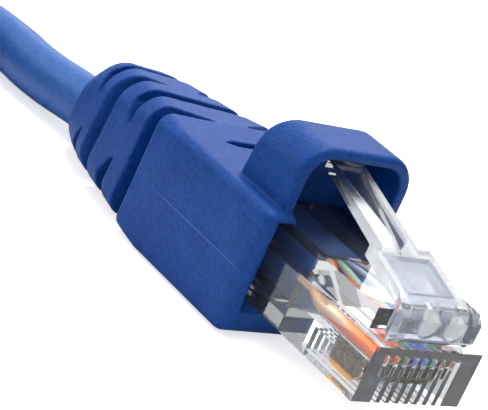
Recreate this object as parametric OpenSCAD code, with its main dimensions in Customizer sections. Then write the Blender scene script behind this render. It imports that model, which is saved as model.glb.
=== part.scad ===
// Ethernet patch cable with a snagless boot and an 8-way modular plug at both ends.
// The near plug points along +X, its latch is up (+Z) and pin 1 is on the -Y side.
// The origin is on the resting surface, under the middle of the near plug and its boot.

/* [Plug body] */
// Width of the plug body across the eight contacts
plug_w = 11.68; // [11.5:0.02:12.2]
// Length of the plug body from its nose to its cable entry
plug_l = 21.46; // [20.5:0.1:24]
// Height of the full-width lower part of the plug body
lower_h = 4.8; // [4.6:0.05:5.2]
// Height of the plug body over its raised middle
plug_h = 6.6; // [6.4:0.05:7]
// Width of the raised middle
raised_w = 8.8; // [7.6:0.1:9.6]
// Length of the low nose in front of the raised middle
nose_l = 2.8; // [2.5:0.1:3.2]
// Thickness of the floor and roof round the cable cavity
shell_t = 0.7; // [0.5:0.05:0.75]
// Depth of the cable cavity, from the cable entry forwards
cavity_l = 10.4; // [9.6:0.1:11]

/* [Latch] */
// Width of the latch across its locking shoulders
latch_w = 6.6; // [6:0.1:7.2]
// Width of the latch where it grows out of the nose
latch_root_w = 8.6; // [8:0.1:9.2]
// Width of the lever behind the shoulders
lever_w = 4; // [3.2:0.1:4.4]
// Distance from the nose to the locking shoulders
shoulder_x = 7.4; // [7:0.1:8.4]
// Distance from the nose to the free end of the lever
lever_x = 16.6; // [15.6:0.1:17.4]
// Thickness of the latch
latch_t = 1.05; // [0.9:0.05:1.15]
// Height of the latch top above the plug underside, at its front
latch_z = 7.9; // [7.8:0.05:8.1]
// Height of the latch top at the shoulders
shoulder_z = 9.65; // [9.4:0.05:9.8]
// Height of the lever top at its free end
lever_z = 12.2; // [11.6:0.05:12.4]
// Radius of the thin neck that the latch bends at
neck_r = 0.35; // [0.3:0.01:0.4]

/* [Contacts and wires] */
// Distance between neighbouring contacts
pitch = 1.016; // [1:0.002:1.05]
// Thickness of a contact blade
blade_t = 0.32; // [0.25:0.01:0.36]
// Width of the comb slots that show the contacts
slot_w = 0.52; // [0.42:0.02:0.6]
// Distance from the nose to the rear ends of the comb slots
slot_end = 7.4; // [6.4:0.1:7.8]
// Length of a contact blade
blade_l = 3.6; // [3.3:0.1:4.6]
// Distance of the blades behind the nose
blade_back = 1.3; // [1:0.1:1.6]
// Height of the wires' centres above the plug underside
wire_z = 3.5; // [3.4:0.02:3.6]
// Outer diameter of a wire's insulation
wire_d = 0.9; // [0.8:0.02:0.92]
// Length of the straight part of the wires
wire_run = 7.2; // [6.8:0.1:7.4]

/* [Cable] */
// Outer diameter of the cable
cable_d = 5.2; // [4.8:0.1:5.4]
// Height of the cable's centre inside the plug
cable_z = 3.3; // [3.25:0.01:3.35]

/* [Boot] */
// Outer width of the boot
boot_w = 16; // [15:0.1:17.5]
// Thickness of the boot under the plug
boot_floor = 3.05; // [2.8:0.05:3.4]
// Height of the boot's top above the plug underside
boot_top = 8.2; // [7.9:0.1:8.6]
// Distance from the nose to the boot's mouth
mouth_x = 13.5; // [12.8:0.1:14.5]
// Distance from the nose to the rear of the boot's straight part
body_end_x = 31; // [29.5:0.1:32]
// Distance from the nose to the cable end of the boot
boot_end_x = 48; // [46.5:0.1:50]
// Radius of the boot's upper long edges
edge_r = 1.2; // [0.9:0.1:2.2]
// Radius of the boot's lower long edges
low_edge_r = 0.8; // [0.5:0.1:1.8]
// Width of the boot at its cable end
tail_w = 6.5; // [6.4:0.1:7.2]
// Depth of the strain-relief grooves
groove_depth = 1.7; // [0.8:0.1:1.8]
// Width of the webs that bridge the grooves
web_w = 2.9; // [2:0.1:3.4]

/* [Hood] */
// Outer width of the latch hood
hood_w = 12.5; // [11.6:0.1:12.8]
// Height of the hood's top above the plug underside
hood_top = 14.1; // [13.9:0.05:14.8]
// Wall of the hood
hood_wall = 1.15; // [0.9:0.05:1.3]
// Distance from the nose to the hood's front rim
hood_front_x = 14.7; // [14.2:0.1:15.2]
// Distance from the nose to the foot of the hood's rear wall
hood_rear_x = 21.2; // [20.6:0.1:22]

/* [Clearances] */
// Gap between the plug and the boot that grips it
boot_gap = 0.08; // [0.05:0.01:0.12]
// Gap between small parts that sit inside each other
small_gap = 0.03; // [0.02:0.01:0.04]

/* [Hidden] */
PINS = 8;
$fn = 32;

CLEAR = [0.86, 0.89, 0.92, 0.5];
BLUE = [0.2, 0.34, 0.68];
GOLD = [0.85, 0.66, 0.28];
// Pin 1 to pin 8; the odd pins are the striped wires.
WIRE_COLOURS = ["navajowhite", "darkorange", "honeydew", "royalblue",
    "lightcyan", "seagreen", "antiquewhite", "saddlebrown"];

// The plug frame: x = 0 at the nose and negative towards the cable, z = 0 at the underside.
origin_x = boot_end_x / 2;
eps = 0.01;
BACK = [-1, 0, 0];
cable_r = cable_d / 2;
pin_y = [for (i = [0:PINS - 1]) (i - (PINS - 1) / 2) * pitch];

// Reach of a cut past the solid that it cuts
past = 1;

// Cable cavity, from the cable entry forwards
cavity_x = plug_l - cavity_l;
cavity_side = 0.7;
cavity_w = cable_d + 2 * cavity_side;
cavity_top = plug_h - shell_t;
// Wire funnel between the cavity and the straight channels
bend_room = 1;
funnel_x = blade_back + wire_run - bend_room;
funnel_h = 3.6;
channel_w = (PINS - 1) * pitch + wire_d + 2 * small_gap;
channel_bottom = wire_z - wire_d / 2 - small_gap;
channel_top = wire_z + wire_d / 2 + small_gap;
channel_start = 0.7;
// The jacket stops a little behind the front of its cavity
jacket_back = 0.6;

// Comb slots, open to the underside and the nose, and the blades in them
slot_h = 2;
slot_low = 1;
comb_z = channel_bottom + 0.1;
blade_bottom = 0.5;
tooth_h = 0.7;
tooth_w = 0.8;

// Strain-relief bar in its window in the underside, ahead of the cable entry
bar_ahead = 7.56;
bar_x = plug_l - bar_ahead;
bar_l = 3.5;
bar_w = 4.4;
bar_low = 0.1;
bar_gap = 0.1;

// Boot bore, sloping from the cable entry of the plug down to the cable end of the boot
exit_z = 0.3;
bore_level = 1.2;
bore_start_x = plug_l + bore_level;
bore_angle = atan((cable_z - exit_z) / (boot_end_x - bore_start_x));
jacket_gap = 0.05;
JACKET_SIDES = 16;

// The latch bends at a thin neck that stands on the nose, in the middle of its root.
root_front = 0.15;
root_l = 1.9;
root_low = lower_h + 0.8;
neck_x = -(root_front + root_l) / 2;
neck_z = lower_h + small_gap + neck_r;
root_bevel = 0.7;
root_rise = 0.25;
// The root keeps its full width for a little way, then narrows quickly to the plate
root_side_l = 1;
waist_x = 2.5;
waist_step = 0.1;

// ---------- helpers ----------

// A block between two corners
module block(a, b) {
    translate(a) cube(b - a);
}

// A profile in the XZ plane, drawn out to width w about Y = 0
module slab_y(points, w) {
    rotate([90, 0, 0]) translate([0, 0, -w / 2]) linear_extrude(w) polygon(points);
}

// A rounded rectangle in the plane, from [-w/2, low] to [w/2, high], with radius r at the top
module rounded(w, low, high, r, low_r) {
    translate([-w / 2 + low_r, low]) square([w - 2 * low_r, low_r + eps]);
    translate([-w / 2, low + low_r]) square([w, high - low - r - low_r]);
    translate([-w / 2 + r, high - r - eps]) square([w - 2 * r, r + eps]);
    for (side = [-1, 1]) {
        translate([side * (w / 2 - low_r), low + low_r]) circle(low_r);
        translate([side * (w / 2 - r), high - r]) circle(r);
    }
}

// Extrudes a section in the YZ plane from x = from back to x = to
module along_x(from, to) {
    translate([-to, 0, 0]) rotate([90, 0, 90]) linear_extrude(to - from) children();
}

// Closed tube through rings of points, each ring with the same count
module skin(rings) {
    n = len(rings[0]);
    last = len(rings) - 1;
    polyhedron(
        points = [for (ring = rings) each ring],
        faces = concat(
            [[for (j = [n - 1:-1:0]) j]],
            [[for (j = [0:n - 1]) last * n + j]],
            [for (i = [0:last - 1], j = [0:n - 1])
                [i * n + j, i * n + (j + 1) % n, (i + 1) * n + j]],
            [for (i = [0:last - 1], j = [0:n - 1])
                [i * n + (j + 1) % n, (i + 1) * n + (j + 1) % n, (i + 1) * n + j]]));
}

function unit(v) = v / norm(v);

// Direction of a route at its point i; the two ends take the directions given for them
function heading(route, i, first, final) =
    i == 0 ? first
    : i == len(route) - 1 ? final
    : unit(unit(route[i + 1] - route[i]) + unit(route[i] - route[i - 1]));

// Ring of points square to a heading, clockwise as seen from behind
function ring_at(p, dir, r, sides) =
    let (side = unit(cross([0, 0, 1], dir)), up = cross(dir, side))
    [for (j = [0:sides - 1]) let (a = 360 * j / sides) p + r * (cos(a) * side - sin(a) * up)];

// Round tube along a route, its ends square to the directions first and final
module tube(route, r, sides, first, final) {
    skin([for (i = [0:len(route) - 1]) ring_at(route[i], heading(route, i, first, final), r, sides)]);
}

// ---------- plug ----------

module plug_body_solid() {
    block([-plug_l, -plug_w / 2, 0], [0, plug_w / 2, lower_h]);
    block([-plug_l, -raised_w / 2, lower_h - eps], [-nose_l, raised_w / 2, plug_h]);
}

module cable_cavity() {
    block([-plug_l - past, -cavity_w / 2, shell_t], [-cavity_x, cavity_w / 2, cavity_top]);
}

module wire_funnel() {
    hull() {
        block([-cavity_x - eps, -channel_w / 2, cable_z - funnel_h / 2],
            [-cavity_x + eps, channel_w / 2, cable_z + funnel_h / 2]);
        block([-funnel_x - eps, -channel_w / 2, channel_bottom],
            [-funnel_x + eps, channel_w / 2, channel_top]);
    }
    block([-funnel_x, -channel_w / 2, channel_bottom], [-channel_start, channel_w / 2, channel_top]);
}

module contact_slots() {
    blade_end = blade_back + blade_l + small_gap;
    for (y = pin_y) {
        block([-slot_end, y - slot_w / 2, -past], [past, y + slot_w / 2, slot_h]);
        block([-blade_end, y - blade_t / 2 - small_gap, slot_low],
            [-blade_back + small_gap, y + blade_t / 2 + small_gap, comb_z]);
        block([-channel_start, y - slot_w / 2, slot_h - eps], [past, y + slot_w / 2, channel_top]);
    }
}

module bar_window() {
    block([-bar_x - bar_l - bar_gap, -bar_w / 2 - bar_gap, -past],
        [-bar_x + bar_gap, bar_w / 2 + bar_gap, shell_t + eps]);
}

module plug_housing() {
    color(CLEAR) difference() {
        plug_body_solid();
        cable_cavity();
        wire_funnel();
        contact_slots();
        bar_window();
    }
}

// Side profile of the latch's root and of its plate up to the shoulders
module latch_profile() {
    translate([neck_x, neck_z]) circle(neck_r);
    polygon([[neck_x - neck_r, neck_z], [neck_x + neck_r, neck_z], [-root_front, root_low],
        [-root_front, latch_z - root_bevel], [-root_front - root_bevel, latch_z],
        [-shoulder_x, shoulder_z], [-shoulder_x, shoulder_z - latch_t],
        [-root_l, latch_z - latch_t + root_rise], [-root_l, root_low]]);
}

// Outline of the root and the plate from above, narrowing to the shoulders
module latch_outline() {
    waist_w = latch_w + 2 * waist_step;
    polygon([[0, -latch_root_w / 2], [0, latch_root_w / 2], [-root_side_l, latch_root_w / 2],
        [-waist_x, waist_w / 2], [-shoulder_x, latch_w / 2], [-shoulder_x, -latch_w / 2],
        [-waist_x, -waist_w / 2], [-root_side_l, -latch_root_w / 2]]);
}

module plug_latch() {
    overlap = 0.6;
    tip_t = 0.7;
    rim_w = 0.55;
    recess_t = 0.4;
    plate_front = root_front + root_bevel;
    function plate_top(x) = latch_z + (x - plate_front) * (shoulder_z - latch_z) / (shoulder_x - plate_front);
    function lever_top(x) = shoulder_z + (x - shoulder_x) * (lever_z - shoulder_z) / (lever_x - shoulder_x);
    recess_x = [root_l + rim_w, shoulder_x - 2 * rim_w];
    channel_x = [shoulder_x + rim_w, lever_x - rim_w];
    color(CLEAR) difference() {
        union() {
            intersection() {
                rotate([90, 0, 0]) translate([0, 0, -latch_root_w / 2])
                    linear_extrude(latch_root_w) latch_profile();
                translate([0, 0, lower_h]) linear_extrude(lever_z) latch_outline();
            }
            // lever, thinner towards its free end
            slab_y([[-shoulder_x + overlap, plate_top(shoulder_x - overlap) - latch_t],
                [-shoulder_x, shoulder_z - latch_t], [-lever_x, lever_z - tip_t],
                [-lever_x, lever_z], [-shoulder_x, shoulder_z],
                [-shoulder_x + overlap, plate_top(shoulder_x - overlap)]], lever_w);
        }
        // recess in the plate
        slab_y([[-recess_x[0], plate_top(recess_x[0]) - recess_t],
            [-recess_x[1], plate_top(recess_x[1]) - recess_t],
            [-recess_x[1], lever_z], [-recess_x[0], lever_z]], latch_w - 3 * rim_w);
        // channel in the lever, narrowing to a point near the shoulders
        intersection() {
            slab_y([[-channel_x[0], lever_top(channel_x[0]) - recess_t],
                [-channel_x[1], lever_top(channel_x[1]) - recess_t],
                [-channel_x[1], lever_z + past], [-channel_x[0], lever_z + past]], lever_w);
            linear_extrude(lever_z + past) polygon([[-channel_x[0], 0],
                [-channel_x[1], lever_w / 2 - rim_w], [-channel_x[1], rim_w - lever_w / 2]]);
        }
    }
}

// Blade with a round-cornered foot and two teeth that point up at the wire
module contact(y) {
    rear = -blade_back - blade_l;
    front = -blade_back;
    top = channel_bottom;
    foot_rise = 0.9;
    color(GOLD) translate([0, y, 0])
        slab_y([[rear, blade_bottom + tooth_w / 2], [rear + tooth_w / 2, blade_bottom],
            [front - foot_rise, blade_bottom], [front, blade_bottom + foot_rise],
            [front, top - tooth_h], [front - tooth_w / 2, top], [front - tooth_w, top - tooth_h],
            [rear + tooth_w, top - tooth_h], [rear + tooth_w / 2, top], [rear, top - tooth_h]],
            blade_t);
}

// Insulated wire of pin i (0 to 7), from its channel back to the jacket's end, where the odd
// pins lie in the upper row and the even pins in the lower one
module wire(i) {
    spread = wire_d * 0.61;
    straight = 0.5;
    end = [-cavity_x - jacket_back, (i - (PINS - 1) / 2) * spread,
        cable_z + (i % 2 == 0 ? 1 : -1) * spread];
    bend_x = -blade_back - wire_run;
    route = [[-channel_start - small_gap, pin_y[i], wire_z], [bend_x, pin_y[i], wire_z],
        [bend_x * 0.62 + end.x * 0.38, pin_y[i] * 0.68 + end.y * 0.32, end.z],
        end + [straight, 0, 0], end];
    color(WIRE_COLOURS[i]) tube(route, wire_d / 2, 10, BACK, BACK);
}

// Cable held in the plug and running down through the boot
module held_jacket() {
    color(BLUE) tube([[-cavity_x - jacket_back, 0, cable_z], [-bore_start_x, 0, cable_z],
        [-boot_end_x, 0, exit_z]], cable_r, JACKET_SIDES, BACK, BACK);
}

// Bar that the crimp presses up against the cable, lower at its front
module relief_bar() {
    top = cable_z - cable_r - small_gap;
    lead_in = 0.6;
    color(CLEAR) slab_y([[-bar_x - bar_l, bar_low], [-bar_x, bar_low],
        [-bar_x, (top + bar_low) / 2], [-bar_x - lead_in, top], [-bar_x - bar_l, top]], bar_w);
}

// ---------- boot ----------

// Shape of the boot's tail: how much of each change from the body to the cable end is done at
// a share of the tail's length, for the width, the top and the edge radius
WIDTH_SHARES = [[0, 0.05], [0.1, 0.12], [0.35, 0.27], [0.59, 0.38], [0.82, 0.63], [0.93, 0.79], [1, 1]];
TOP_SHARES = [[0, 0.02], [0.1, 0.07], [0.35, 0.15], [0.59, 0.24], [0.82, 0.32], [0.93, 0.54], [1, 1]];
RADIUS_SHARES = [[0, 0.05], [0.1, 0.3], [0.27, 0.5], [0.48, 0.65], [0.68, 0.8], [1, 1]];
LOW_RADIUS_SHARES = [[0, 0.12], [0.1, 0.4], [0.27, 0.53], [0.48, 0.65], [0.68, 0.78], [1, 1]];
function tail_hw(t) = boot_w / 2 + (tail_w - boot_w) / 2 * lookup(t, WIDTH_SHARES);
function tail_low(t) = -boot_floor + (exit_z - tail_w / 2 + boot_floor) * t;
function tail_top(t) = boot_top + (exit_z + tail_w / 2 - boot_top) * lookup(t, TOP_SHARES);
function tail_r(t) = edge_r + (tail_w / 2 - edge_r) * lookup(t, RADIUS_SHARES);
function tail_low_r(t) = low_edge_r + (tail_w / 2 - low_edge_r) * lookup(t, LOW_RADIUS_SHARES);

SECTION = 48;
least_r = 0.3;
tail_wall = 1.2;
// Point j of the rounded section, drawn in by inset; the four corner arcs take equal counts
function section_point(j, hw, low, top, r, low_r, inset) =
    let (quarter = SECTION / 4, k = floor(j / quarter), a = 90 * (k + (j % quarter) / (quarter - 1)),
        rr = max((k < 2 ? r : low_r) - inset / 2, least_r),
        cy = (k == 0 || k == 3 ? 1 : -1) * (hw - inset - rr),
        cz = k < 2 ? top - inset - rr : low + inset + rr)
    [cy + rr * cos(a), cz + rr * sin(a)];

// Grooves: [share of the tail's length, width, whether the webs are at the sides]
GROOVES = [[0.01, 2, false], [0.26, 1.4, true], [0.48, 1.8, false], [0.68, 1.1, true]];
tail_l = boot_end_x - body_end_x;
draft = 0.15;

// True where a web bridges the groove
function is_web(p, low, top, sides) =
    sides ? abs(p[1] - (low + top) / 2) < web_w / 2 : abs(p[0]) < web_w / 2;

function tail_ring(x, inset, sides) =
    let (t = (x - body_end_x) / tail_l, hw = tail_hw(t), low = tail_low(t), top = tail_top(t),
        most = min((top - low) / 2, hw) - eps, r = min(tail_r(t), most), low_r = min(tail_low_r(t), most))
    [for (j = [0:SECTION - 1])
        let (outer = section_point(j, hw, low, top, r, low_r, 0))
        let (p = inset > 0 && !is_web(outer, low, top, sides)
            ? section_point(j, hw, low, top, r, low_r, inset) : outer)
        [-x, p[0], p[1]]];

function groove_rings(g) =
    let (x = body_end_x + g[0] * tail_l, cut = min(groove_depth, tail_hw(g[0]) - cable_r - tail_wall))
    [[x, 0, g[2]], [x + draft, cut, g[2]], [x + g[1] - draft, cut, g[2]], [x + g[1], 0, g[2]]];

module boot_tail() {
    stations = concat(
        [[body_end_x - eps, 0, false]],
        [for (g = GROOVES) each groove_rings(g)],
        [for (t = [0.82, 0.88, 0.94, 0.98, 1]) [body_end_x + t * tail_l, 0, false]]);
    skin([for (s = stations) tail_ring(s[0], s[1], s[2])]);
}

// Bevels along the lower edge and the two side edges of the boot's front
front_bevel = 0.6;
module front_bevels() {
    back = -mouth_x - front_bevel - past;
    front = -mouth_x + past;
    slab_y([[back, -boot_floor - past], [front, -boot_floor + front_bevel + past],
        [front, -boot_floor - past]], boot_w + past);
    for (side = [-1, 1])
        translate([0, 0, -boot_floor - past]) linear_extrude(boot_floor + boot_top + 2 * past)
            polygon([[back, side * (boot_w / 2 + past)], [front, side * (boot_w / 2 + past)],
                [front, side * (boot_w / 2 - front_bevel - past)]]);
}

// Lead-in that widens the boot's mouth
flare_w = 1.1;
flare_l = 1.8;
flare_down = 0.66;
flare_up = 0.88;
module mouth_flare() {
    seat_w = plug_w / 2 + boot_gap;
    hull() {
        block([-mouth_x - flare_l, -seat_w, -boot_gap], [-mouth_x - flare_l + eps, seat_w, plug_h + boot_gap]);
        block([-mouth_x, -seat_w - flare_w, -boot_gap - flare_down],
            [-mouth_x + past, seat_w + flare_w, plug_h + boot_gap + flare_up]);
    }
}

// The hood's side outline: foot, leaning rear wall, sloped rear of the top, and front rim
lean = 0.6;
slope_h = 0.8;
slope_l = 1.4;
module hood_side(inset) {
    polygon([[-hood_rear_x + inset, plug_h], [-hood_rear_x + lean + inset, hood_top - slope_h],
        [-hood_rear_x + slope_l + inset * 0.7, hood_top - inset], [-hood_front_x, hood_top - inset],
        [-hood_front_x, plug_h]]);
}

module hood_block(w, inset, r) {
    intersection() {
        rotate([90, 0, 0]) translate([0, 0, -w]) linear_extrude(2 * w) hood_side(inset);
        along_x(hood_front_x - past, hood_rear_x + past) rounded(w, 0, hood_top - inset, r, r);
    }
}

module plug_boot() {
    inner_w = hood_w - 2 * hood_wall;
    slit_ahead = 4.5;
    slit_x = body_end_x - slit_ahead;
    slit_l = 0.5;
    slit_depth = 0.9;
    hood_r = 3.1;
    color(BLUE) difference() {
        union() {
            along_x(mouth_x, body_end_x) rounded(boot_w, -boot_floor, boot_top, edge_r, low_edge_r);
            boot_tail();
            hood_block(hood_w, 0, hood_r);
        }
        front_bevels();
        // seat of the plug
        block([-plug_l - boot_gap, -plug_w / 2 - boot_gap, -boot_gap],
            [0, plug_w / 2 + boot_gap, plug_h + boot_gap]);
        mouth_flare();
        // tunnel over the latch, open to the front
        hood_block(inner_w, hood_wall, hood_r - hood_wall);
        block([-hood_rear_x + hood_wall, -inner_w / 2, plug_h], [0, inner_w / 2, boot_top + eps]);
        // bore for the cable
        tube([[past - plug_l, 0, cable_z], [-bore_start_x, 0, cable_z],
            [-boot_end_x - past, 0, exit_z - past * tan(bore_angle)]],
            cable_r + jacket_gap, JACKET_SIDES, BACK, BACK);
        // slit across the top, behind the hood
        block([-slit_x - slit_l, -hood_w * 0.3, boot_top - slit_depth],
            [-slit_x, hood_w * 0.3, boot_top + past]);
    }
}

// ---------- cable ----------

// The cable's points are in the part's own frame, with z = 0 on the resting surface.
FRONT = [1, 0, 0];
SIDES = 8;
cord_z = cable_r + 0.1;
exit_height = boot_floor + exit_z;
// Route of the free cable from the near boot to the coil
LEAD = [[origin_x - boot_end_x, 0, exit_height], [-28.2, -0.6, 3.1], [-31.5, -1, 2.85],
    [-35, -1.2, 2.72], [-38, -1.25, 2.7], [-42, -1.9, 2.7], [-47, -3.4, 2.7], [-52, -4.8, 2.7]];
// Route of the free cable from the coil to the far boot
TAIL = [[-52, -74.9, 8.1], [-45, -75.8, 6.5], [-39, -75, 4.9], [-33, -72.7, 3.9],
    [-28, -70.7, 3.45], [origin_x - boot_end_x, -70, exit_height]];
// Nose of the far plug, which points the same way as the near one
FAR = [TAIL[len(TAIL) - 1].x + boot_end_x, TAIL[len(TAIL) - 1].y];

// Coil: two layers, wound in, up a layer in half a turn, and out again
COIL_CENTRE = [-57, -39.5];
coil_r = 34.5;
coil_pitch = 5.7;
layer_turns = 2;
LOOP_RINGS = 24;
LOOP_SIDES = 6;
coil_turns = 2 * layer_turns + 0.5;

// Radius and height of the cable's centre after u turns
function coil_radius(u) =
    let (inner = coil_r - layer_turns * coil_pitch, after = u - layer_turns)
    after < 0 ? coil_r - u * coil_pitch
    : after < 0.5 ? inner - coil_pitch * 0.5 * (0.5 - abs(after - 0.25) * 2)
    : inner + (after - 0.5) * coil_pitch;
function coil_height(u) =
    let (share = min(max((u - layer_turns) / 0.5, 0), 1))
    cord_z + coil_pitch * (1 - cos(180 * share)) / 2;
function coil_point(u) =
    let (a = 90 + 360 * u, r = coil_radius(u))
    [COIL_CENTRE.x + r * cos(a), COIL_CENTRE.y + r * sin(a), coil_height(u)];
coil_loops = [for (k = [0:coil_turns * LOOP_RINGS]) coil_point(k / LOOP_RINGS)];
coil_route = concat([LEAD[len(LEAD) - 1]], coil_loops, [TAIL[0]]);

// Least distance between points of the coil that are more than half a turn apart
function least_gap(points) = min([for (i = [0:len(points) - 1], j = [i + LOOP_RINGS / 2:len(points) - 1])
    if (j > i) norm(points[i] - points[j])]) - cable_d;
function route_length(points, i = 1) =
    i >= len(points) ? 0 : norm(points[i] - points[i - 1]) + route_length(points, i + 1);
echo(least_gap_in_coil = least_gap(coil_loops));
echo(free_cable = route_length(LEAD) + route_length(coil_route) + route_length(TAIL));

module cable_lead() {
    color(BLUE) tube(LEAD, cable_r, SIDES, BACK, BACK);
}

module cable_coil() {
    color(BLUE) tube(coil_route, cable_r, LOOP_SIDES, BACK, FRONT);
}

module cable_tail() {
    color(BLUE) tube(TAIL, cable_r, SIDES, FRONT, FRONT);
}

module near() {
    translate([origin_x, 0, boot_floor]) children();
}

module far() {
    translate([FAR.x, FAR.y, boot_floor]) children();
}

near() plug_housing();  // housing
near() plug_latch();  // latch
near() relief_bar();  // strain_relief_bar
near() held_jacket();  // jacket_end
near() plug_boot();  // boot
for (i = [1:PINS]) {
    near() contact(pin_y[i - 1]);
    near() wire(i - 1);
}
cable_lead();
cable_coil();
cable_tail();
far() plug_housing();  // far_housing
far() plug_latch();  // far_latch
far() relief_bar();  // far_strain_relief_bar
far() held_jacket();  // far_jacket_end
far() plug_boot();  // far_boot
far() for (y = pin_y) contact(y);  // far_contacts
far() for (i = [0:PINS - 1]) wire(i);  // far_wires
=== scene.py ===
import bpy, math
import numpy as np
from mathutils import Matrix, Vector


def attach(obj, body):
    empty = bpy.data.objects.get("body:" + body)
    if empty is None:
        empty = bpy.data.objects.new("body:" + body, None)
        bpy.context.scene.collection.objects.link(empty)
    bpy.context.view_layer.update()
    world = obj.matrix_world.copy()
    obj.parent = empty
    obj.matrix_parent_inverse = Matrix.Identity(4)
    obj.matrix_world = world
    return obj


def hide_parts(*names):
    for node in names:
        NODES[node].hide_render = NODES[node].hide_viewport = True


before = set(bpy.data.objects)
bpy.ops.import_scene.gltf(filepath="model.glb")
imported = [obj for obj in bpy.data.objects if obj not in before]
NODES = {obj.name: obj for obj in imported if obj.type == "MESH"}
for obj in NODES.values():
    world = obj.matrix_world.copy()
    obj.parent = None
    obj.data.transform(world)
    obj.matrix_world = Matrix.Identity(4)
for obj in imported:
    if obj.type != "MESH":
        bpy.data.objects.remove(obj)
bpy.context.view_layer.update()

# ---------------------------------------------------------------- frame
# The plug frame is in millimetres: x = 0 at the nose and negative towards the cable,
# z = 0 at the plug's underside. NEAR and FAR are its two origins in the part's own frame.
MM_PER_M = 1000
NEAR = (24.0, 0.0, 3.05)
FAR = (24.0, -70.0, 3.05)
FAR_SHIFT = Vector((FAR[i] - NEAR[i] for i in range(3))) / MM_PER_M


def place(points):
    """Points of the near plug's frame as metres in the part's frame."""
    return (np.asarray(points, float) + np.array(NEAR)) / MM_PER_M


# ---------------------------------------------------------------- camera
CAMERA_AT = (0.116326, -0.111598, 0.059533)
CAMERA_RIGHT = (0.534, 0.74987, 0.39057)
CAMERA_UP = (-0.48911, -0.10282, 0.86614)
CAMERA_BACK = (0.68965, -0.65355, 0.31186)
cam = bpy.data.objects.new("camera", bpy.data.cameras.new("camera"))
bpy.context.scene.collection.objects.link(cam)
turned = Matrix((CAMERA_RIGHT, CAMERA_UP, CAMERA_BACK)).transposed().to_4x4()
cam.matrix_world = Matrix.Translation(CAMERA_AT) @ turned
cam.data.sensor_fit = "HORIZONTAL"
cam.data.sensor_width = 36
cam.data.lens = 148.74
cam.data.clip_start, cam.data.clip_end = 0.005, 5
bpy.context.scene.camera = cam


# ---------------------------------------------------------------- materials
def srgb(r, g, b):
    """A linear colour from 8-bit sRGB."""
    return tuple((v / 255 / 12.92 if v / 255 <= 0.04045 else ((v / 255 + 0.055) / 1.055) ** 2.4)
                 for v in (r, g, b)) + (1.0,)


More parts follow.
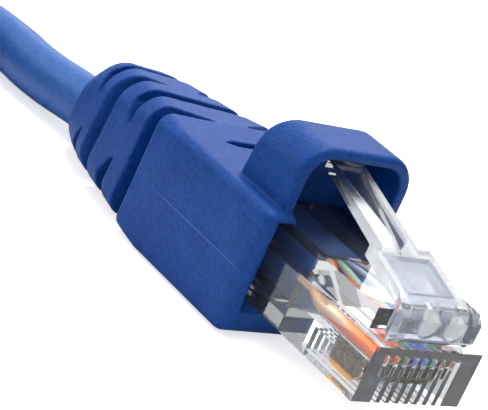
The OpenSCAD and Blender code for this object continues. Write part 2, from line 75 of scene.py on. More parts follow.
class Mat:
    """A node material with short calls for the nodes that these materials share."""

    def __init__(self, name, **sockets):
        self.m = bpy.data.materials.new(name)
        self.m.use_nodes = True
        self.n, self.l = self.m.node_tree.nodes, self.m.node_tree.links
        self.p = self.n["Principled BSDF"]
        for key, value in sockets.items():
            self.p.inputs[key.replace("_", " ")].default_value = value
        self.tc = self.n.new("ShaderNodeTexCoord")

    def to(self, socket, out):
        self.l.new(out, self.p.inputs[socket])

    def split(self, vector):
        node = self.n.new("ShaderNodeSeparateXYZ")
        self.l.new(vector, node.inputs[0])
        return node.outputs

    def noise(self, scale, detail=3, rough=0.5):
        t = self.n.new("ShaderNodeTexNoise")
        t.inputs["Scale"].default_value = scale
        t.inputs["Detail"].default_value = detail
        t.inputs["Roughness"].default_value = rough
        self.l.new(self.tc.outputs["Object"], t.inputs["Vector"])
        return t.outputs["Fac"]

    def ramp(self, fac, stops):
        """Linear colours between stops of (position, colour)."""
        r = self.n.new("ShaderNodeValToRGB")
        e = r.color_ramp.elements
        while len(e) < len(stops):
            e.new(0.5)
        for k, (position, colour) in enumerate(stops):
            e[k].position, e[k].color = position, colour
        self.l.new(fac, r.inputs["Fac"])
        return r.outputs["Color"]

    def remap(self, value, low, high, start=0.0, end=1.0):
        """The value's span from start to end, drawn onto low to high and held there."""
        r = self.n.new("ShaderNodeMapRange")
        r.inputs["From Min"].default_value, r.inputs["From Max"].default_value = start, end
        r.inputs["To Min"].default_value, r.inputs["To Max"].default_value = low, high
        self.l.new(value, r.inputs["Value"])
        return r.outputs["Result"]

    def bump(self, height, strength, distance):
        b = self.n.new("ShaderNodeBump")
        b.inputs["Strength"].default_value, b.inputs["Distance"].default_value = strength, distance
        self.l.new(height, b.inputs["Height"])
        normal = self.p.inputs["Normal"]
        if normal.is_linked:
            self.l.new(normal.links[0].from_socket, b.inputs["Normal"])
        self.l.new(b.outputs["Normal"], normal)

    def math(self, operation, a, b=0.0, c=0.0):
        """A Math node; each of a, b and c is an output or a number."""
        node = self.n.new("ShaderNodeMath")
        node.operation = operation
        for socket, value in zip(node.inputs, (a, b, c)):
            if isinstance(value, (int, float)):
                socket.default_value = value
            else:
                self.l.new(value, socket)
        return node.outputs[0]

    def place(self):
        """X, Y and Z in metres, with the far plug's Y brought over the near plug's."""
        x, y, z = self.split(self.tc.outputs["Object"])
        far = self.math("LESS_THAN", y, FAR_SHIFT.y / 2)
        return x, self.math("MULTIPLY_ADD", far, -FAR_SHIFT.y, y), z

    def within(self, value, low, high, soft):
        """1 between two values, falling to 0 over a soft margin outside them."""
        half = (high - low) / 2
        off = self.math("ABSOLUTE", self.math("SUBTRACT", value, low + half))
        return self.remap(off, 0, 1, half + soft, half)

    def patch(self, *spans):
        """1 where every value is within its span of (value, low, high, soft)."""
        share = self.within(*spans[0])
        for span in spans[1:]:
            share = self.math("MULTIPLY", share, self.within(*span))
        return share

    def blend(self, share, a, b):
        """Colour a, and b where the share is 1; each is an output or a colour."""
        m = self.n.new("ShaderNodeMix")
        m.data_type = "RGBA"
        self.l.new(share, m.inputs["Factor"])
        for socket, value in ((m.inputs[6], a), (m.inputs[7], b)):
            if isinstance(value, tuple):
                socket.default_value = value
            else:
                self.l.new(value, socket)
        return m.outputs[2]

    def mix(self, share, a, b):
        """Shader a, and b where the share is 1."""
        m = self.n.new("ShaderNodeMixShader")
        for socket, value in zip(m.inputs, (share, a, b)):
            self.l.new(value, socket)
        return m.outputs[0]

    def surface(self, shader):
        self.l.new(shader, self.n["Material Output"].inputs["Surface"])

    def pass_light(self, share):
        """Clear plastic lets a share of the lamps' light through to what is inside it."""
        path = self.n.new("ShaderNodeLightPath")
        clear = self.n.new("ShaderNodeBsdfTransparent")
        passed = self.math("MULTIPLY", path.outputs["Is Shadow Ray"], share)
        self.surface(self.mix(passed, self.p.outputs[0], clear.outputs[0]))


def pvc(name, dark, light, rough, grain, gloss=0.3, line=None):
    """Moulded PVC: two near blues in soft clouds, a fine spark-eroded grain, uneven gloss.

    A line (height, from, to) is where the halves of the mould met, painted lighter: a painted highlight of
    the light that its ridge catches.
    """
    m = Mat(name, IOR=1.5, Specular_IOR_Level=gloss)
    fine_share = 0.6
    coarse = m.math("MULTIPLY", m.noise(260, 4, 0.6), 1 - fine_share)
    mottle = m.math("MULTIPLY_ADD", m.noise(2600, 2), fine_share, coarse)
    colour = m.ramp(mottle, [(0.36, srgb(*dark)), (0.64, srgb(*light))])
    if line:
        height, start, end = line
        half_width, fade, strength = 0.00007, 0.0015, 0.5
        x, _, z = m.place()
        share = m.patch((z, height, height, half_width), (x, start, end, fade))
        # painted highlight: the mould line is mixed towards a lighter blue instead of being shaped
        colour = m.blend(m.math("MULTIPLY", share, strength), colour, srgb(96, 128, 196))
    m.to("Base Color", colour)
    m.to("Roughness", m.remap(m.noise(900), *rough))
    m.bump(m.noise(5200, 2, 0.7), grain, 0.00009)
    m.bump(m.noise(700), 0.12, 0.0001)
    return m.m


BOOT = pvc("boot_pvc", (6, 55, 124), (17, 71, 148), (0.38, 0.52), 0.8, 0.16,
           (0.0056, -0.002, 0.0082))
CABLE = pvc("cable_pvc", (44, 88, 156), (58, 102, 170), (0.36, 0.5), 0.3)

# Clear plastic: its tint, the share it transmits, its roughness, and how much of the lamps' light
# it passes on to what is inside it
WATER = (0.81, 0.82, 0.84, 1)
CLEARNESS = 0.98
SMOOTH = 0.035
LAMP_SHARE = 0.8


def polycarbonate(name):
    m = Mat(name, Base_Color=WATER, IOR=1.58, Roughness=SMOOTH, Transmission_Weight=CLEARNESS)
    m.bump(m.noise(420, 2), 0.1, 0.0001)
    m.pass_light(LAMP_SHARE)
    return m


# The housing's upper side edge has a painted refraction of the first wire that lies along it, orange
# towards the nose and beige towards the cable.
RAMP_PER_METRE = 40  # from 0 to 1 over x = 0 to 25 mm
clear = polycarbonate("clear_polycarbonate")
x, y, z = clear.place()
along = clear.ramp(clear.math("MULTIPLY", x, RAMP_PER_METRE), [
    (0.5, srgb(220, 190, 160)), (0.74, srgb(222, 168, 128)),
    (0.82, srgb(248, 98, 30)), (0.93, srgb(240, 66, 4))])
painted_wire_refraction = clear.patch((y, -0.0060, -0.00555, 0.0001), (z, 0.0075, 0.0080, 0.0001),
                   (x, 0.0138, 0.0250, 0.0006))
# painted refraction: the wire is painted into the edge's colour, and the edge is made less clear so that
# this colour shows
clear.to("Base Color", clear.blend(painted_wire_refraction, WATER, along))
clear.to("Transmission Weight", clear.math("MULTIPLY_ADD", painted_wire_refraction, -0.45, CLEARNESS))
CLEAR = clear.m

# The latch: two round ejector marks on its root, a frosted recess in its plate, whiter
# rims of the plate and rails of the lever, and painted shade on the root's front outside the marks
MARKS = ((-0.0013, 0.00995), (0.0016, 0.00975))
MARK_R = 0.0009
FROSTED = (0.48, 0.52, 0.64, 1)
PAINTED_ROOT_SHADE = (0.34, 0.38, 0.5, 1)
latch = polycarbonate("clear_latch")
x, y, z = latch.place()
distances = []
for mark_y, mark_z in MARKS:
    dy, dz = latch.math("SUBTRACT", y, mark_y), latch.math("SUBTRACT", z, mark_z)
    squares = latch.math("ADD", latch.math("MULTIPLY", dy, dy), latch.math("MULTIPLY", dz, dz))
    distances.append(latch.math("SQRT", squares))
mark = latch.within(latch.math("MINIMUM", *distances), -MARK_R, MARK_R, 0.0003)
latch.bump(mark, 1.0, 0.00015)
recess = latch.patch((x, 0.0176, 0.0224, 0.0001), (y, -0.0026, 0.0026, 0.0001))
left = latch.patch((x, 0.0125, 0.0163, 0.0012), (y, -0.003, -0.0004, 0.0004))
right = latch.patch((x, 0.0095, 0.0163, 0.002), (y, 0.0014, 0.003, 0.0003))
rims = latch.patch((x, 0.0165, 0.0226, 0.0003),
                   (latch.math("ABSOLUTE", y), 0.0028, 0.0034, 0.0002))
milky = left
for share, strength in ((right, 0.6), (rims, 0.5), (mark, 0.55)):
    milky = latch.math("MAXIMUM", milky, latch.math("MULTIPLY", share, strength))
root = latch.patch((x, 0.0230, 0.0250, 0.0001), (z, 0.0086, 0.0105, 0.0002))
# painted shade: the root's front is darkened everywhere except on the ejector marks
painted_root_shade = latch.math("MULTIPLY", root, latch.math("SUBTRACT", 1.0, mark))
latch.to("Base Color", latch.blend(painted_root_shade, latch.blend(recess, WATER, FROSTED), PAINTED_ROOT_SHADE))
latch.to("Roughness", latch.math("MULTIPLY_ADD", recess, 0.3, SMOOTH))
latch.to("Transmission Weight", latch.math("MULTIPLY_ADD", milky, -0.72, CLEARNESS))
LATCH = latch.m

# Contact blades: bronze sides, gold-plated up to a height, with paler and duller front and rear edges
PLATED_TO, PLATED_FADE = 0.0039, 0.0041
blade = Mat("gold_plate")
_, _, z = blade.split(blade.tc.outputs["Object"])
facing = blade.split(blade.tc.outputs["Normal"])["X"]
edges = blade.math("GREATER_THAN", blade.math("ABSOLUTE", facing), 0.7)
sides = blade.ramp(blade.remap(z, 0, 1, PLATED_TO, PLATED_FADE),
                   [(0.0, srgb(248, 172, 40)), (1.0, srgb(92, 68, 38))])
blade.to("Base Color", blade.blend(edges, sides, srgb(206, 190, 150)))
blade.to("Metallic", blade.math("MULTIPLY_ADD", edges, -0.7, 1.0))
blade.to("Roughness", blade.remap(blade.noise(2600, 2), 0.2, 0.36))
blade.bump(blade.noise(1500), 0.08, 0.00005)
GOLD = blade.m


def wire_material(name, base, stripe=None):
    """Insulation: a plain colour with faint clouds, or a pale one with a stripe of the pair's colour."""
    m = Mat(name, Roughness=0.38, IOR=1.5)
    darker = srgb(*(int(v * 0.9) for v in base))
    if stripe is None:
        colour = m.ramp(m.noise(700, 2), [(0.3, darker), (0.7, srgb(*base))])
    else:
        # the stripe winds round the wire: U is its length in metres, V its turn
        turns_per_metre, start = 60, 0.7
        u, v, _ = m.split(m.tc.outputs["UV"])
        turn = m.math("ADD", m.math("MULTIPLY_ADD", u, turns_per_metre, start), v)
        colour = m.ramp(m.math("FRACT", turn), [
            (0.0, darker), (0.55, srgb(*base)), (0.6, srgb(*stripe)), (1.0, srgb(*stripe))])
    m.to("Base Color", colour)
    m.bump(m.noise(2500, 2), 0.1, 0.00005)
    return m.m


ORANGE, GREEN, BLUE, BROWN = (255, 108, 10), (24, 150, 66), (28, 84, 214), (132, 70, 30)
PALE_ORANGE, PALE_GREEN = (252, 214, 170), (200, 236, 204)
PALE_BLUE, PALE_BROWN = (204, 222, 248), (226, 204, 184)
# in the order of T568B
WIRES = [wire_material("wire_" + name, *colours) for name, *colours in (
    ("white_orange", PALE_ORANGE, ORANGE), ("orange", ORANGE),
    ("white_green", PALE_GREEN, GREEN), ("blue", BLUE),
    ("white_blue", PALE_BLUE, BLUE), ("green", GREEN),
    ("white_brown", PALE_BROWN, BROWN), ("brown", BROWN))]


# ---------------------------------------------------------------- making pieces
def add(name, mesh, material, replaces=(), shift=None):
    """A smooth piece on the cable's body; pieces that share a mesh share its material."""
    obj = bpy.data.objects.new(name, mesh)
    bpy.context.scene.collection.objects.link(obj)
    if not mesh.materials:
        mesh.materials.append(material)
    mesh.polygons.foreach_set("use_smooth", np.ones(len(mesh.polygons), bool))
    if shift:
        obj.location = shift
    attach(obj, "cable")
    if replaces:
        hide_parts(*replaces)
    return obj


def tube(name, points, radius, sides=16):
    """A round tube along points in metres, with closed ends and a UV map of length and turn."""
    p = np.asarray(points, float)
    n = len(p)
    t = np.gradient(p, axis=0)
    t /= np.linalg.norm(t, axis=1)[:, None]
    side = np.cross((0, 0, 1), t)
    side /= np.linalg.norm(side, axis=1)[:, None]
    up = np.cross(t, side)
    a = np.arange(sides) / sides * 2 * math.pi
    cos, sin = np.cos(a)[None, :, None], np.sin(a)[None, :, None]
    ring = p[:, None] + radius * (cos * side[:, None] + sin * up[:, None])
    i, j = np.meshgrid(np.arange(n - 1), np.arange(sides), indexing="ij")
    k = (j + 1) % sides
    here, there = i * sides, (i + 1) * sides
    quads = np.stack([here + j, here + k, there + k, there + j], -1).reshape(-1, 4)
    faces = [tuple(q) for q in quads.tolist()]
    faces += [tuple(range(sides - 1, -1, -1)), tuple(range((n - 1) * sides, n * sides))]
    m = bpy.data.meshes.new(name)
    m.from_pydata(ring.reshape(-1, 3).tolist(), [], faces)
    length = np.r_[0, np.cumsum(np.linalg.norm(np.diff(p, axis=0), axis=1))]
    u0, u1 = length[i].ravel(), length[i + 1].ravel()
    v0, v1 = (j / sides).ravel(), ((j + 1) / sides).ravel()
    uv = np.zeros((len(m.loops), 2))
    uv[:len(quads) * 4] = np.stack([u0, v0, u0, v1, u1, v1, u1, v0], 1).reshape(-1, 2)
    m.uv_layers.new(name="UVMap").data.foreach_set("uv", uv.ravel())
    return m


def spline(points, per):
    """Catmull-Rom points through the given ones, a number of them for each span."""
    p = np.asarray(points, float)
    p = np.vstack([2 * p[0] - p[1], p, 2 * p[-1] - p[-2]])
    out = []
    for i in range(1, len(p) - 2):
        a, b, c, d = p[i - 1], p[i], p[i + 1], p[i + 2]
        for t in np.arange(per) / per:
            out.append(0.5 * (2 * b + (c - a) * t + (2 * a - 5 * b + 4 * c - d) * t * t
                              + (3 * b - a - 3 * c + d) * t ** 3))
    out.append(p[-2])
    return np.array(out)


# ---------------------------------------------------------------- free cable
# In millimetres of the part's frame: from the near boot to the coil, the coil, and to the far boot
CABLE_R = 2.6
CABLE_SIDES = 24
LEAD = [(-24, 0, 3.35), (-28.2, -0.65, 3.1), (-31.5, -1.15, 2.85), (-35, -1.38, 2.72),
        (-38, -1.4, 2.7), (-42, -2.0, 2.7), (-47, -3.4, 2.7), (-52, -4.8, 2.7)]
TAIL = [(-52, -74.9, 8.1), (-45, -75.8, 6.5), (-39, -75, 4.9), (-33, -72.7, 3.9),
        (-28, -70.7, 3.45), (-24, -70, 3.35)]
COIL_AT = (-57, -39.5)
COIL_LOW = 2.7
COIL_R = 34.5
COIL_PITCH = 5.7
TURNS_IN = 2
TURN_UP = 0.5
POINTS_PER_TURN = 24
COIL_POINTS = 109


def coil_point(u):
    """Centre of the cable after u turns: two layers, wound in, up a layer, and out again."""
    after = u - TURNS_IN
    inner = COIL_R - TURNS_IN * COIL_PITCH
    if after < 0:
        r = COIL_R - u * COIL_PITCH
    elif after < TURN_UP:
        r = inner - COIL_PITCH * 0.5 * (0.5 - abs(after - TURN_UP / 2) * 2)
    else:
        r = inner + (after - TURN_UP) * COIL_PITCH
    share = min(max(after / TURN_UP, 0), 1)
    a = math.radians(90 + 360 * u)
    return (COIL_AT[0] + r * math.cos(a), COIL_AT[1] + r * math.sin(a),
            COIL_LOW + COIL_PITCH * (1 - math.cos(math.pi * share)) / 2)


coil = [coil_point(k / POINTS_PER_TURN) for k in range(COIL_POINTS)]
route = spline(LEAD + coil + TAIL, 3) / MM_PER_M
cable = add("cable", tube("cable", route, CABLE_R / MM_PER_M, CABLE_SIDES), CABLE,
            replaces=("cable_lead", "cable_coil", "cable_tail"))


# ---------------------------------------------------------------- boot
# A field of distances in the plug frame, in millimetres: s is the distance behind the nose,
# and the last number of each smin and smax is how widely it rounds the edge between its forms.
def smin(a, b, k):
    h = np.clip(0.5 + 0.5 * (b - a) / k, 0, 1)
    return b * (1 - h) + a * h - k * h * (1 - h)


def smax(a, b, k):
    return -smin(-a, -b, k)


def rect(y, z, hw, low, top, r_low, r_top):
    """Distance to a rectangle whose lower and upper corners have their own radii."""
    upper = z > (low + top) / 2
    r = np.where(upper, r_top, r_low)
    qy = np.abs(y) - (hw - r)
    qz = np.where(upper, z - (top - r), (low + r) - z)
    return np.hypot(np.maximum(qy, 0), np.maximum(qz, 0)) + np.minimum(np.maximum(qy, qz), 0) - r


def plane(s, z, at, toward):
    """Distance past a sloping plane through a point, towards a direction."""
    return (s - at[0]) * toward[0] + (z - at[1]) * toward[1]


def step(v, a, b):
    """0 up to a, 1 from b on, and smooth between them."""
    t = np.clip((v - a) / (b - a), 0, 1)
    return t * t * (3 - 2 * t)


# Sections: distance behind the nose, half width, low side, top, lower and upper edge radius
SECTIONS = np.array([
    (10, 8, -2.9, 8.1, 0.8, 0.95), (27.5, 8, -3.05, 8.1, 0.8, 0.95), (30.9, 7.9, -2.85, 8.1, 1.1, 1.3),
    (32.6, 7.4, -3.0, 7.85, 1.8, 2.0), (35.4, 7.0, -3.0, 7.6, 2.1, 2.5), (39.1, 6.4, -3.0, 7.38, 2.4, 2.8),
    (42.5, 5.7, -3.0, 7.12, 2.7, 3.1), (45, 4.9, -2.95, 6.7, 3.0, 3.2), (46.8, 4.1, -2.95, 5.4, 3.2, 3.2),
    (48, 3.1, -2.9, 3.6, 3.0, 3.0), (52, 3.0, -2.85, 3.5, 2.9, 2.9)])
FLOOR_Z = -3.05
MOUTH_S, TAIL_END_S = 13.5, 47.85
LEAD_IN = 10.9  # the mouth's lower edge is cut along s + z
# The soft tail is rolled a little about a height, from one distance to another
ROLL, ROLL_Z, ROLL_SPAN = np.radians(4.8), 2.4, (27, 39)
# Grooves: distance behind the nose, width, whether the webs are at the sides, height of those webs
GROOVES = [(30.9, 2.2, False, 0), (35.4, 1.5, True, 0.3), (39.1, 2.0, False, 0), (42.5, 1.3, True, 0)]
GROOVE_DEPTH = 1.8
GROOVE_WALL = (0.78, 1.05)  # the soft wall, as shares of the width
# Where a groove starts beside its web, where it is full, and how fast it deepens between them
AT_SIDES, ON_TOP = (1.5, 3.6, 5), (1.8, 6.0, 2.2)
# Hood over the latch, and the tunnel in it
HOOD_FRONT_S, HOOD_HALF, HOOD_TOP, HOOD_EDGE = 14.7, 6.25, 13.92, 3.1
HOOD_REAR, REAR_LEAN = (21.2, 6.6), (0.995, 0.1)
HOOD_SLOPE, SLOPE_TOWARD, SLOPE_LENGTH = (20.9, 13.3), (1.8, 1.7), 2.48
HOOD_WALL = 1.15
TUNNEL_HALF, TUNNEL_LOW, TUNNEL_TOP, TUNNEL_EDGE = 5.0, 4, 12.95, 2.0
# Seat of the plug, widened at the mouth
SEAT_HALF, SEAT_LOW, SEAT_TOP, SEAT_EDGE, SEAT_END_S = 5.92, -0.08, 6.68, 0.15, 21.54
FLARE, FLARE_S, FLARE_LENGTH, FLARE_MOST = 1.1, 15.3, 1.8, 1.2
FLARE_DOWN, FLARE_UP = 0.6, 0.8
# Bore for the cable, which falls towards the tail
BORE_R, BORE_Z, BORE_FROM_S, BORE_FALL = 2.65, 3.3, 22.66, 3.0 / 25.34
# Slit behind the hood
SLIT_S, SLIT_HALF_LENGTH, SLIT_HALF, SLIT_Z, SLIT_TAPER = 26.75, 0.5, 3.7, 7.3, (2.4, 3.8)


def groove(s, y, z, d, at, width, sides, rise, low, top):
    """Cut with a sharp wall towards the plug and a soft one towards the cable, thinning to the webs."""
    across = np.abs(z - (low + top) / 2 - rise) if sides else np.abs(y)
    start, full, deepens = AT_SIDES if sides else ON_TOP
    share = np.clip((across - start) / (full - start), 0, 1)
    w = width * (0.1 + 0.9 * share ** 0.8)
    wall = step((s - at) / w, *GROOVE_WALL)
    depth = GROOVE_DEPTH * np.minimum(share * deepens, 1) * (1 - wall)
    return smax(np.abs(s - at - w / 2) - w / 2, -depth - d + 0.05, 0.2)


def boot_field(x, y, z):
    s, floor = -x, FLOOR_Z - z
    roll, up = ROLL * step(s, *ROLL_SPAN), z - ROLL_Z
    y, z = y * np.cos(roll) - up * np.sin(roll), y * np.sin(roll) + up * np.cos(roll) + ROLL_Z
    hw, low, top, r_low, r_top = (np.interp(s, SECTIONS[:, 0], SECTIONS[:, k]) for k in range(1, 6))
    d = rect(y, z, hw, low, top, r_low, r_top)
    d = smax(smax(d, s - TAIL_END_S, 1.4), floor, 0.3)
    for at, w, sides, rise in GROOVES:
        d = smax(d, -groove(s, y, z, d, at, w, sides, rise, low, top), 0.15)
    d = smax(d, MOUTH_S - s, 1.6)
    d = smax(d, (LEAD_IN - s - z) * 0.707, 0.5)

    rear = plane(s, z, HOOD_REAR, REAR_LEAN)
    slope = plane(s, z, HOOD_SLOPE, SLOPE_TOWARD) / SLOPE_LENGTH
    ends = smax(smax(rear, slope, 0.9), HOOD_FRONT_S - s, 0.2)
    hood = smax(rect(y, z, HOOD_HALF, 0, HOOD_TOP, HOOD_EDGE, HOOD_EDGE), ends, 0.6)
    d = smin(d, hood, 0.25)
    tunnel = rect(y, z, TUNNEL_HALF, TUNNEL_LOW, TUNNEL_TOP, TUNNEL_EDGE, TUNNEL_EDGE)
    tunnel = smax(smax(tunnel, rear + HOOD_WALL, 0.4), slope + HOOD_WALL, 0.5)
    d = smax(d, -tunnel, 0.2)

    flare = FLARE * np.clip((FLARE_S - s) / FLARE_LENGTH, 0, FLARE_MOST)
    seat = rect(y, z, SEAT_HALF + flare, SEAT_LOW - flare * FLARE_DOWN, SEAT_TOP + flare * FLARE_UP,
                SEAT_EDGE, SEAT_EDGE)
    d = smax(d, -smax(seat, s - SEAT_END_S, 0.1), 0.15)
    bore_z = BORE_Z - np.maximum(s - BORE_FROM_S, 0) * BORE_FALL
    d = smax(d, -np.hypot(y, z - bore_z) + BORE_R, 0.12)

    half_length = SLIT_HALF_LENGTH * (1 - step(np.abs(y), *SLIT_TAPER))
    slit = np.maximum(np.abs(s - SLIT_S) - half_length, np.maximum(np.abs(y) - SLIT_HALF, SLIT_Z - z))
    return smax(d, -slit, 0.12)


def surface_net(field, low, high, h):
    """Quads on the zero level of a field, its points drawn onto that level."""
    axes = [np.arange(a, b + h, h) for a, b in zip(low, high)]
    f = field(*np.meshgrid(*axes, indexing="ij")).astype(np.float32)
    inside = f < 0
    cells = tuple(n - 1 for n in f.shape)
    total = np.zeros(cells + (3,), np.float32)
    count = np.zeros(cells, np.int32)

    def corner(o):
        return f[o[0]:o[0] + cells[0], o[1]:o[1] + cells[1], o[2]:o[2] + cells[2]]

    # each cell's point is the mean of the places where the field crosses the cell's edges
    for axis in range(3):
        for u in (0, 1):
            for v in (0, 1):
                o = [0, 0, 0]
                o[(axis + 1) % 3], o[(axis + 2) % 3] = u, v
                q = list(o)
                q[axis] = 1
                fa, fb = corner(o), corner(q)
                cross = (fa < 0) != (fb < 0)
                t = np.where(cross, fa / np.where(cross, fa - fb, 1), 0)
                for k in range(3):
                    total[..., k] += np.where(cross, o[k] + (t if k == axis else 0), 0)
                count += cross
    used = count > 0
    index = np.full(cells, -1, np.int64)
    index[used] = np.arange(used.sum())
    where = np.argwhere(used)
    verts = (where + total[used] / count[used][:, None]) * h + np.array([a[0] for a in axes])

    # each crossed edge of the grid has a quad between the four cells round it
    quads = []
    for axis in range(3):
        a, b = (axis + 1) % 3, (axis + 2) % 3
        lo = [slice(1, -1)] * 3
        lo[axis] = slice(0, -1)
        hi = list(lo)
        hi[axis] = slice(1, None)
        one, two = inside[tuple(lo)], inside[tuple(hi)]
        for outward in (True, False):
            base = np.argwhere((one & ~two) if outward else (~one & two)) + 1
            base[:, axis] -= 1
            ring = []
            for da, db in ((-1, -1), (0, -1), (0, 0), (-1, 0)):
                c = base.copy()
                c[:, a] += da
                c[:, b] += db
                ring.append(index[c[:, 0], c[:, 1], c[:, 2]])
            quads.append(np.stack(ring if outward else ring[::-1], 1))

    # draw the points onto the level along the field's slope
    probe, least_slope = h * 0.05, 0.25
    for _ in range(2):
        x, y, z = verts.T
        value = field(x, y, z)
        moved = (field(x + probe, y, z), field(x, y + probe, z), field(x, y, z + probe))
        grad = np.stack([m - value for m in moved], 1) / probe
        slope = np.maximum((grad ** 2).sum(1), least_slope)[:, None]
        verts = verts - np.clip(value, -h / 2, h / 2)[:, None] * grad / slope
    return verts, np.concatenate(quads)


def quad_mesh(name, verts, quads):
    m = bpy.data.meshes.new(name)
    m.vertices.add(len(verts))
    m.vertices.foreach_set("co", np.asarray(verts, np.float32).ravel())
    n = quads.shape[1]
    m.loops.add(quads.size)
    m.loops.foreach_set("vertex_index", quads.astype(np.int32).ravel())
    m.polygons.add(len(quads))
    m.polygons.foreach_set("loop_start", np.arange(0, quads.size, n, dtype=np.int32))
    m.update(calc_edges=True)
    m.validate()
    return m


BOOT_STEP = 0.18
BOOT_BOX = (-48.8, -8.8, -3.7), (-12.9, 8.8, 14.9)
verts, quads = surface_net(boot_field, *BOOT_BOX, BOOT_STEP)
boot_mesh = quad_mesh("boot", place(verts), quads)
add("boot_moulding", boot_mesh, BOOT, replaces=("boot",))
far_boot = add("far_boot_moulding", boot_mesh, BOOT, replaces=("far_boot",), shift=FAR_SHIFT)

# ---------------------------------------------------------------- jacket in the plug and boot
JACKET_X, JACKET_Z = -11.66, 3.3
jacket_line = place([(JACKET_X, 0, JACKET_Z), (-14, 0, JACKET_Z), (-18, 0, JACKET_Z), (-22.4, 0, JACKET_Z),
                     (-23.2, 0, 3.24), (-30, 0, 2.43), (-40, 0, 1.25), (-48, 0, 0.3)])
jacket_mesh = tube("jacket", jacket_line, CABLE_R / MM_PER_M, CABLE_SIDES)
add("jacket_in_plug", jacket_mesh, CABLE, replaces=("jacket_end",))
far_jacket = add("far_jacket_in_plug", jacket_mesh, CABLE, replaces=("far_jacket_end",), shift=FAR_SHIFT)

# ---------------------------------------------------------------- wires
# Flat in a row at the nose, and gathered to two rows where they leave the jacket
WIRE_R = 0.45
WIRE_Z = 3.5
WIRE_PITCH = 1.016
BUNDLE_STEP = 0.549
for i in range(8):
    number, from_middle = i + 1, i - 3.5
    y = from_middle * WIRE_PITCH
    end_y, end_z = from_middle * BUNDLE_STEP, JACKET_Z + (BUNDLE_STEP if i % 2 == 0 else -BUNDLE_STEP)
    mid = (-9.7, y * 0.68 + end_y * 0.32, WIRE_Z + (end_z - WIRE_Z) * 0.85)
    straight = [(x, y, WIRE_Z) for x in (-0.75, -3, -6.5, -8.3)]
    line = spline(straight + [mid, (-11.2, end_y, end_z), (JACKET_X, end_y, end_z)], 4)
    mesh = tube("wire_%d" % number, place(line), WIRE_R / MM_PER_M)
    add("insulated_wire_%d" % number, mesh, WIRES[i], replaces=("wire_%d" % number,))
    add("far_insulated_wire_%d" % number, mesh, WIRES[i], shift=FAR_SHIFT)
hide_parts("far_wires")


# ---------------------------------------------------------------- CAD nodes that keep their shape
def dress(node, material, bevel=0.0):
    """A node's material, and a fine bevel in millimetres on its sharp edges."""
    o = NODES[node]
    o.data.materials.clear()
    o.data.materials.append(material)
    if bevel:
        b = o.modifiers.new("edges", "BEVEL")
        b.width, b.segments = bevel / MM_PER_M, 2
        b.limit_method, b.angle_limit = "ANGLE", math.radians(35)


for k in range(1, 9):
    dress("contact_%d" % k, GOLD)
dress("far_contacts", GOLD)
for prefix in ("", "far_"):
    dress(prefix + "housing", CLEAR, 0.05)
    dress(prefix + "latch", LATCH, 0.09)
    dress(prefix + "strain_relief_bar", CLEAR)

# ---------------------------------------------------------------- floor
FLOOR_HALF, FLOOR_CELLS = 3.0, 24
ticks = [-FLOOR_HALF + 2 * FLOOR_HALF * i / FLOOR_CELLS for i in range(FLOOR_CELLS + 1)]
row = FLOOR_CELLS + 1
floor_mesh = bpy.data.meshes.new("floor")
floor_mesh.from_pydata([(x, y, 0) for y in ticks for x in ticks], [], [
    (j * row + i, j * row + i + 1, (j + 1) * row + i + 1, (j + 1) * row + i)
    for j in range(FLOOR_CELLS) for i in range(FLOOR_CELLS)])
floor = bpy.data.objects.new("floor", floor_mesh)
bpy.context.scene.collection.objects.link(floor)

# The camera sees it white, and clear plastic shows it paler than it is and with less shadow
CAMERA_GLOW = 0.66
THROUGH_GLOW, THROUGH_SHARE = 0.82, 0.8
pale = Mat("floor", Roughness=0.9)
pale.to("Base Color", pale.ramp(pale.noise(40, 2), [
    (0.3, (0.86, 0.87, 0.88, 1)), (0.7, (0.9, 0.9, 0.9, 1))]))
path = pale.n.new("ShaderNodeLightPath")
through, glow = pale.n.new("ShaderNodeEmission"), pale.n.new("ShaderNodeEmission")
through.inputs["Strength"].default_value = THROUGH_GLOW
glow.inputs["Strength"].default_value = CAMERA_GLOW
lit = pale.n.new("ShaderNodeAddShader")
pale.l.new(pale.p.outputs[0], lit.inputs[0])
pale.l.new(glow.outputs[0], lit.inputs[1])
dim = pale.mix(pale.math("MULTIPLY", path.outputs["Is Transmission Ray"], THROUGH_SHARE),
               pale.p.outputs[0], through.outputs[0])
pale.surface(pale.mix(path.outputs["Is Camera Ray"], dim, lit.outputs[0]))
floor_mesh.materials.append(pale.m)

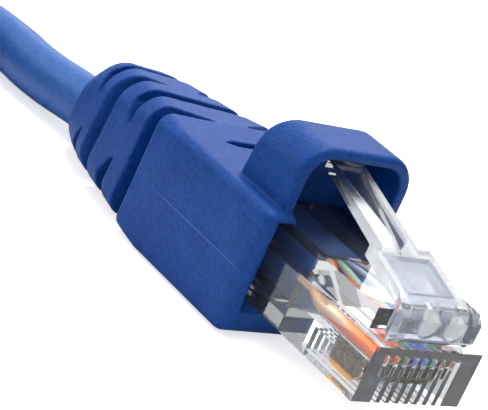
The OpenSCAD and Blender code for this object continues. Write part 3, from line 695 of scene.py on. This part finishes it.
# ---------------------------------------------------------------- world and lamps
# White to the camera; to all else a studio with a dark band at the horizon, by height
STUDIO_STRENGTH = 0.6
STUDIO_BAND = ((0.0, 0.3), (0.16, 0.5), (0.45, 0.85), (1.0, 0.7))
world = bpy.data.worlds.new("world")
bpy.context.scene.world = world
world.use_nodes = True
wn, wl = world.node_tree.nodes, world.node_tree.links
white = wn.new("ShaderNodeBackground")
white.inputs["Color"].default_value = (1, 1, 1, 1)
studio = wn["Background"]
studio.inputs["Strength"].default_value = STUDIO_STRENGTH
direction, split = wn.new("ShaderNodeTexCoord"), wn.new("ShaderNodeSeparateXYZ")
band = wn.new("ShaderNodeValToRGB")
stops = band.color_ramp.elements
stops.new(0.16)
stops.new(0.45)
for stop, (height, grey) in zip(stops, STUDIO_BAND):
    stop.position, stop.color = height, (grey * 0.96, grey * 0.98, grey, 1)
path, mix = wn.new("ShaderNodeLightPath"), wn.new("ShaderNodeMixShader")
wl.new(direction.outputs["Generated"], split.inputs[0])
wl.new(split.outputs["Z"], band.inputs["Fac"])
wl.new(band.outputs["Color"], studio.inputs["Color"])
wl.new(path.outputs["Is Camera Ray"], mix.inputs["Fac"])
wl.new(studio.outputs[0], mix.inputs[1])
wl.new(white.outputs[0], mix.inputs[2])
wl.new(mix.outputs[0], wn["World Output"].inputs["Surface"])


def area(name, at, toward, size, watts):
    d = bpy.data.lights.new(name, "AREA")
    d.shape, d.size, d.size_y, d.energy = "RECTANGLE", size[0], size[1], watts
    o = bpy.data.objects.new(name, d)
    bpy.context.scene.collection.objects.link(o)
    o.location = at
    o.rotation_euler = (Vector(toward) - Vector(at)).to_track_quat("-Z", "Y").to_euler()


area("key", (-0.12, 0.08, 0.55), (-0.01, 0, 0), (0.35, 0.25), 3.9)
area("back", (-0.42, 0.40, 0.26), (-0.01, 0, 0), (0.45, 0.2), 0.75)
area("fill", (0.35, -0.45, 0.30), (0, 0, 0), (0.4, 0.4), 0.3)
area("side", (-0.42, -0.36, 0.24), (-0.01, 0, 0), (0.35, 0.3), 0.85)
area("rear", (-0.50, -0.14, 0.20), (-0.02, 0, 0), (0.35, 0.3), 0.35)

bpy.context.scene.view_settings.view_transform = "Standard"
bpy.context.view_layer.update()
